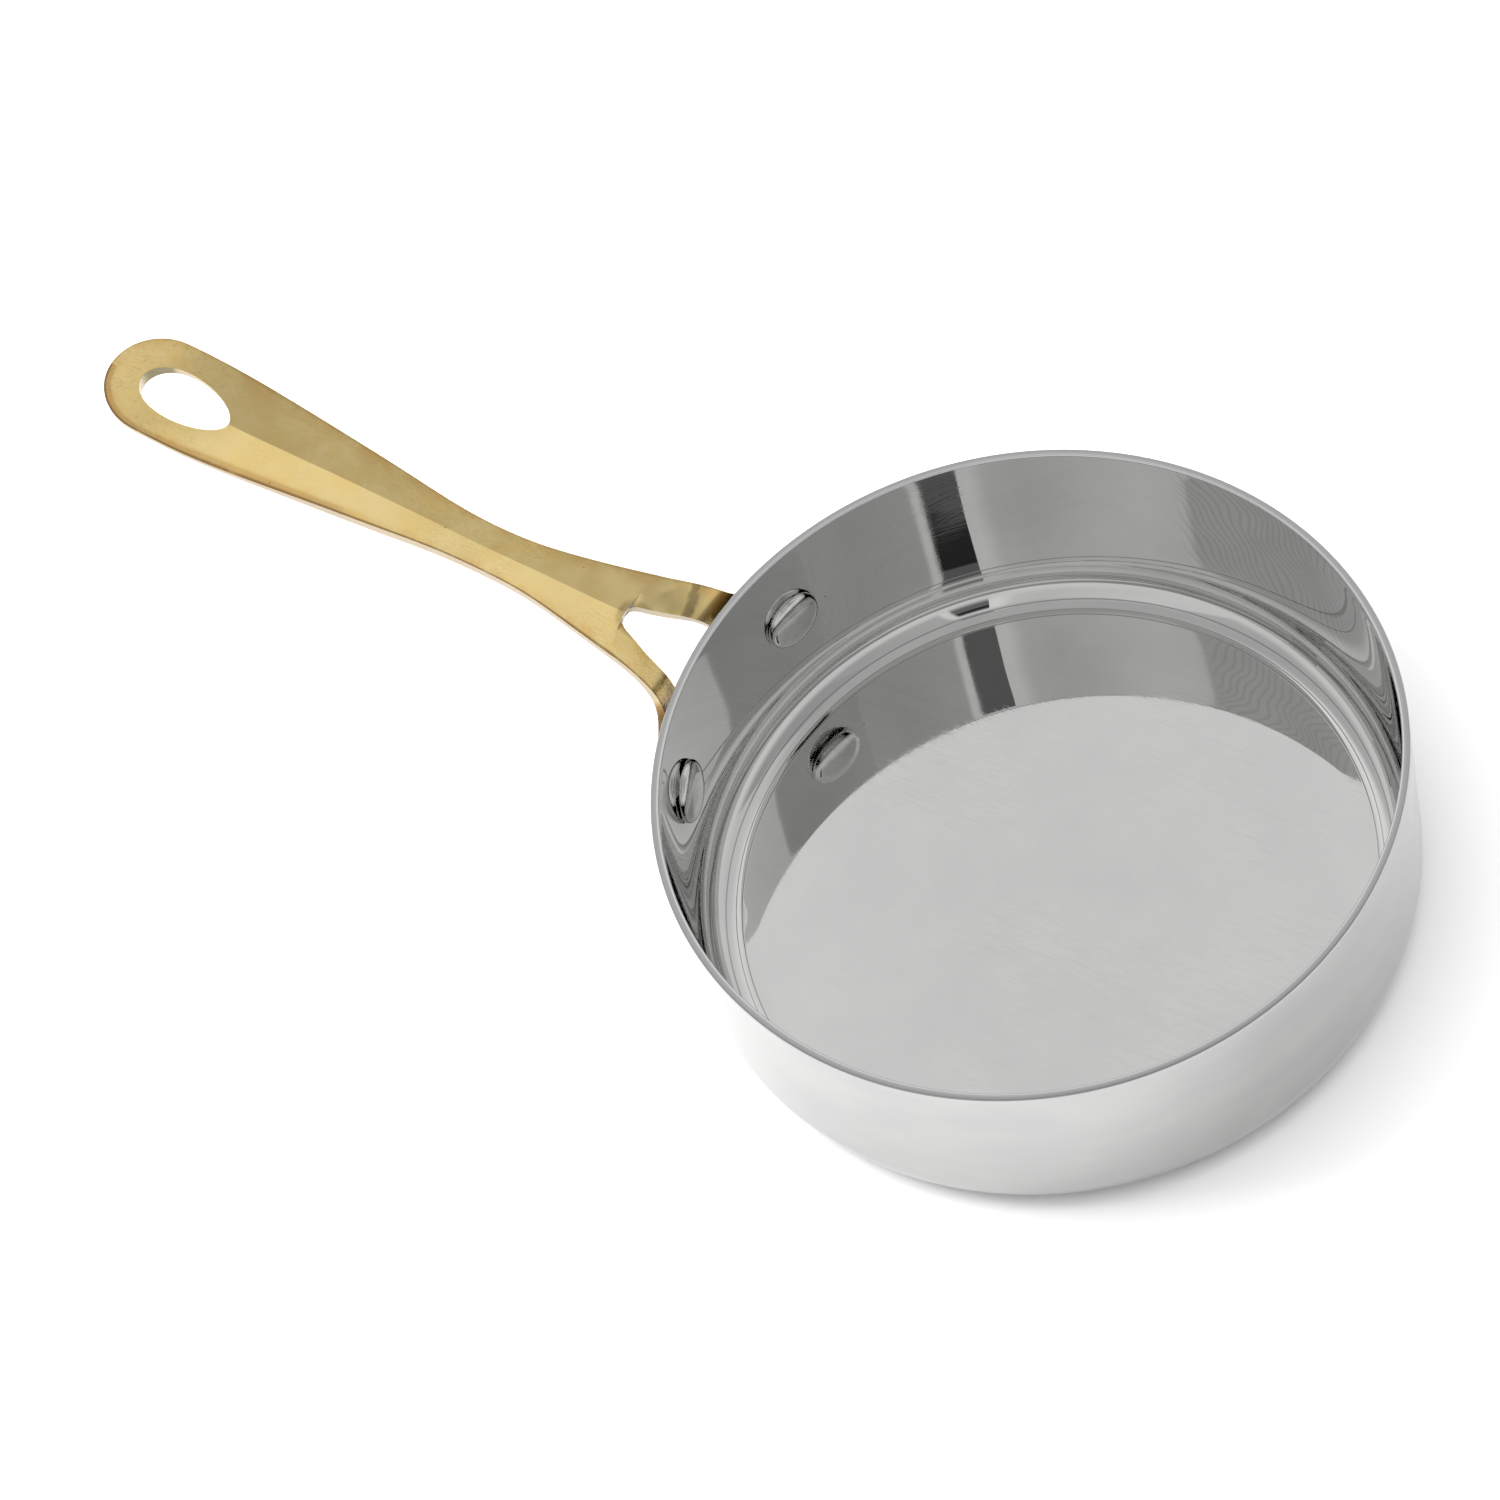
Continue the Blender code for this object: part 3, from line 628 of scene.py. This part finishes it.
def handle_mesh(name, cells=10):
    """Half of the handle, open only where the mirrored half joins it."""
    mesh = bpy.data.meshes.new(name)
    bm = bmesh.new()
    edge_layer = bm.verts.layers.float.new("edge")
    bend_layer = bm.verts.layers.float.new("bend")
    rows = handle_rows()
    top, under = [], []
    for (inner, outer, inner_share, outer_share, dark), way in zip(rows, row_directions(rows)):
        lines = ([], [])
        for j in range(cells + 1):
            share = j / cells
            reach, side, height = (a + (b - a) * share for a, b in zip(inner, outer))
            if outer[0] > ARM_TABLE[-1, 0]:
                height = top_height(reach, side)
            middle = 1.0 - (2.0 * share - 1.0) ** 2
            flat = inner_share + (outer_share - inner_share) * share
            depth = ARM_THICKNESS * (flat + 0.12 * middle * (1.0 - flat))
            x = -math.sqrt(reach * reach - side * side)
            shift = np.array([x, -side]) / reach * way[0] * depth
            if inner[1] == 0.0 and j == 0:
                shift[1] = 0.0
            places = ((x, -side, PAN_HEIGHT + height),
                      (x + shift[0], -side + shift[1], PAN_HEIGHT + height + way[1] * depth))
            for place, line in zip(places, lines):
                vert = bm.verts.new(place)
                vert[edge_layer] = share
                vert[bend_layer] = dark
                line.append(vert)
        top.append(lines[0])
        under.append(lines[1])
    for i in range(len(rows) - 1):
        for j in range(cells):
            bm.faces.new((top[i][j], top[i][j + 1], top[i + 1][j + 1], top[i + 1][j]))
            bm.faces.new((under[i][j], under[i + 1][j], under[i + 1][j + 1], under[i][j + 1]))
        bm.faces.new((top[i][-1], under[i][-1], under[i + 1][-1], top[i + 1][-1]))
        if rows[i][0][1] > 0.0 or rows[i + 1][0][1] > 0.0:
            bm.faces.new((top[i + 1][0], under[i + 1][0], under[i][0], top[i][0]))
        elif i > 10:
            bm.edges.get((top[i][0], top[i + 1][0])).smooth = False
    for j in range(cells):
        bm.faces.new((top[-1][j], top[-1][j + 1], under[-1][j + 1], under[-1][j]))
    bmesh.ops.recalc_face_normals(bm, faces=bm.faces)
    for face in bm.faces:
        face.smooth = True
    bm.to_mesh(mesh)
    bm.free()
    return mesh


def build_handle(material):
    obj = add_piece("handle_cast", handle_mesh("handle_cast"), material, "cast_brass", "handle")
    mirror = obj.modifiers.new("both_sides", "MIRROR")
    mirror.use_axis = (False, True, False)
    mirror.merge_threshold = 0.00002
    bevel = obj.modifiers.new("soft_edges", "BEVEL")
    bevel.width = EDGE_ROUND
    bevel.segments = 4
    bevel.limit_method = "ANGLE"
    bevel.angle_limit = math.radians(55.0)
    weighted = obj.modifiers.new("flat_faces", "WEIGHTED_NORMAL")
    weighted.keep_sharp = True
    weighted.weight = 80
    return obj


def dome(back, radius, height, edge, way):
    """Low domed head from its crown out to its back face, facing along `way` on the rivet's axis."""
    points = []
    for angle in np.linspace(0.0, math.pi / 2, 22):
        rise = edge + (height - edge) * math.cos(angle) ** 0.9
        points.append((radius * math.sin(angle) ** 1.05, back + way * rise))
    points.append((radius, back))
    return points


def rivet_profile():
    sag = INNER_HEAD_RADIUS ** 2 / (2.0 * (RIM_RADIUS - SHEET))
    inner_back = -(SHEET + FIT_GAP + sag)
    outer_back = 2.0 * FIT_GAP + ARM_THICKNESS
    points = dome(outer_back, OUTER_HEAD_RADIUS, OUTER_HEAD_HEIGHT, OUTER_HEAD_EDGE, 1.0)
    points += [(SHANK_RADIUS, outer_back), (SHANK_RADIUS, inner_back)]
    points += dome(inner_back, INNER_HEAD_RADIUS, INNER_HEAD_HEIGHT, INNER_HEAD_EDGE, -1.0)[::-1]
    return points


def build_rivet(name, side, material, node):
    height = PAN_HEIGHT - RIVET_DEPTH
    lean = math.atan2(RIM_RADIUS - BASE_RADIUS, PAN_HEIGHT - CORNER_RADIUS)
    angle = math.pi - side * RIVET_ANGLE
    outward = Vector((math.cos(angle), math.sin(angle), 0.0))
    spot = outward * wall_radius(height) + Vector((0.0, 0.0, height))
    turn = Matrix.Rotation(angle, 4, "Z") @ Matrix.Rotation(math.pi / 2 + lean, 4, "Y")
    mesh = turned_mesh(name, rivet_profile(), RIVET_STEPS, False)
    mesh.transform(Matrix.Translation(spot) @ turn)
    return add_piece(name, mesh, material, "rivet_steel", node)


# ---- room ---------------------------------------------------------------------------------
# brightness of the room by azimuth in degrees, placed so that the reflections look right
ROOM_TONES = ((0, .42), (38, .38), (42, .39), (43.5, .64), (80, .72), (92, .84), (105, .95), (130, .80),
              (150, 1.0), (166, .9), (176, .55), (194, .49), (239, .53), (241, .72), (256, .75), (290, .62),
              (300, .66), (305, .85), (322, .8), (323.5, .5), (345, .46))


def room_ring(nodes, around):
    """Colour of the room round the horizon; `around` runs from 0 to 1."""
    ring = nodes.add("ShaderNodeValToRGB", {0: around})
    ramp = ring.color_ramp
    while len(ramp.elements) > 1:
        ramp.elements.remove(ramp.elements[-1])
    ramp.elements[0].position = 0.0
    ramp.elements[0].color = grey(ROOM_TONES[0][1])
    for degrees, value in ROOM_TONES[1:]:
        ramp.elements.new(degrees / 360.0).color = grey(value)
    return ring.outputs[0]


def dark_stand(nodes, around, up):
    """(mask, shade) of one dark stand: near black about one height, lighter above and below it."""
    degrees = nodes.product(around, 360.0)
    ragged = nodes.noise(nodes.combine(nodes.product(up, 900.0), 0.0, 0.0), 1.0, 3.0, 0.7)
    ragged = nodes.math("ADD", nodes.product(ragged, 9.0), 315.2)
    stand = nodes.product(nodes.math("GREATER_THAN", degrees, 308.2),
                          nodes.math("LESS_THAN", degrees, ragged),
                          nodes.math("LESS_THAN", up, math.radians(62)))
    off_middle = nodes.math("ABSOLUTE", nodes.math("SUBTRACT", up, math.radians(54.62)))
    return stand, nodes.ramp(off_middle, math.radians(3.28), math.radians(3.36), 0.03, 0.16)


def build_world():
    """Soft room light, bright and dim by turns, with one dark stand reflected in the wall."""
    world = bpy.data.worlds.new("room")
    bpy.context.scene.world = world
    world.use_nodes = True
    nodes = Nodes(world.node_tree)
    background = world.node_tree.nodes["Background"]
    way = nodes.add("ShaderNodeTexCoord").outputs["Generated"]
    x, y, z = nodes.add("ShaderNodeSeparateXYZ", {0: way}).outputs
    turns = nodes.math("DIVIDE", nodes.math("ARCTAN2", y, x), 2.0 * math.pi)
    around = nodes.math("FRACT", nodes.math("ADD", turns, 1.0))
    up = nodes.math("ARCSINE", z)
    stand, shade = dark_stand(nodes, around, up)
    colour = nodes.mix(stand, room_ring(nodes, around), nodes.combine(shade, shade, shade))
    zenith = nodes.ramp(up, math.radians(60), math.radians(72))
    colour = nodes.mix(zenith, colour, grey(0.50))
    low = nodes.ramp(up, math.radians(42), math.radians(26))
    colour = nodes.mix(low, colour, grey(0.75))
    nodes.put(background.inputs["Color"], colour)
    background.inputs["Strength"].default_value = 1.0


def add_light(name, place, aim, size, power):
    """Square lamp that lights the scene but isn't seen in the metal."""
    light = bpy.data.lights.new(name, "AREA")
    light.shape = "SQUARE"
    light.size = size
    light.energy = power
    obj = bpy.data.objects.new(name, light)
    bpy.context.scene.collection.objects.link(obj)
    obj.location = place
    obj.rotation_euler = (Vector(place) - Vector(aim)).to_track_quat("Z", "Y").to_euler()
    obj.visible_glossy = False


def direction(azimuth, elevation, distance):
    a, e = math.radians(azimuth), math.radians(elevation)
    return Vector((math.cos(a) * math.cos(e), math.sin(a) * math.cos(e), math.sin(e))) * distance


def build_floor():
    mesh = bpy.data.meshes.new("floor")
    half = 6.0
    corners = [(-half, -half, 0), (half, -half, 0), (half, half, 0), (-half, half, 0)]
    mesh.from_pydata(corners, [], [(0, 1, 2, 3)])
    obj = bpy.data.objects.new("floor", mesh)
    bpy.context.scene.collection.objects.link(obj)
    obj.location.z = -0.2 * MM
    material, nodes, shader, place = new_material("pale_floor")
    shader.inputs["Base Color"].default_value = (0.9, 0.9, 0.9, 1)
    shader.inputs["Roughness"].default_value = 1.0
    shader.inputs["Specular IOR Level"].default_value = 0.0
    # clear from below and right under the pan, so the underside of the pan can be seen
    behind = nodes.add("ShaderNodeNewGeometry").outputs["Backfacing"]
    from_centre = nodes.add("ShaderNodeVectorMath", {0: place}, operation="LENGTH").outputs["Value"]
    under_pan = nodes.math("LESS_THAN", from_centre, BASE_RADIUS - CORNER_RADIUS)
    clear = nodes.add("ShaderNodeBsdfTransparent").outputs[0]
    open_floor = nodes.math("MAXIMUM", behind, under_pan)
    surface = nodes.add("ShaderNodeMixShader", {0: open_floor, 1: shader.outputs[0], 2: clear}).outputs[0]
    nodes.put(material.node_tree.nodes["Material Output"].inputs["Surface"], surface)
    mesh.materials.append(material)


def build_camera():
    camera = bpy.data.cameras.new("camera")
    camera.lens = LENS_MM
    camera.sensor_width = 36.0
    camera.clip_start = 0.01
    obj = bpy.data.objects.new("camera", camera)
    bpy.context.scene.collection.objects.link(obj)
    look = (CAMERA_PLACE - CAMERA_AIM).to_track_quat("Z", "Y").to_matrix().to_4x4()
    obj.matrix_world = Matrix.Translation(CAMERA_PLACE) @ look @ Matrix.Rotation(CAMERA_ROLL, 4, "Z")
    bpy.context.scene.camera = obj


steel = steel_material()
brass = brass_material()
rivet_steel = rivet_material()
add_piece("pan_spun", turned_mesh("pan_spun", pan_profile(), PAN_STEPS, True, sheet_wobble), steel,
          "polished_steel", "pan_body")
build_handle(brass)
build_rivet("rivet_far", 1.0, rivet_steel, "rivet_left")
build_rivet("rivet_near", -1.0, rivet_steel, "rivet_right")
build_world()
build_floor()
add_light("overhead_fill", direction(0, 90, 2.4), (0, 0, 0), 3.0, 60.0)
add_light("key", direction(200, 45, 1.8), (0, 0, 0.03), 0.9, 25.0)
build_camera()
bpy.context.scene.view_settings.view_transform = "Standard"
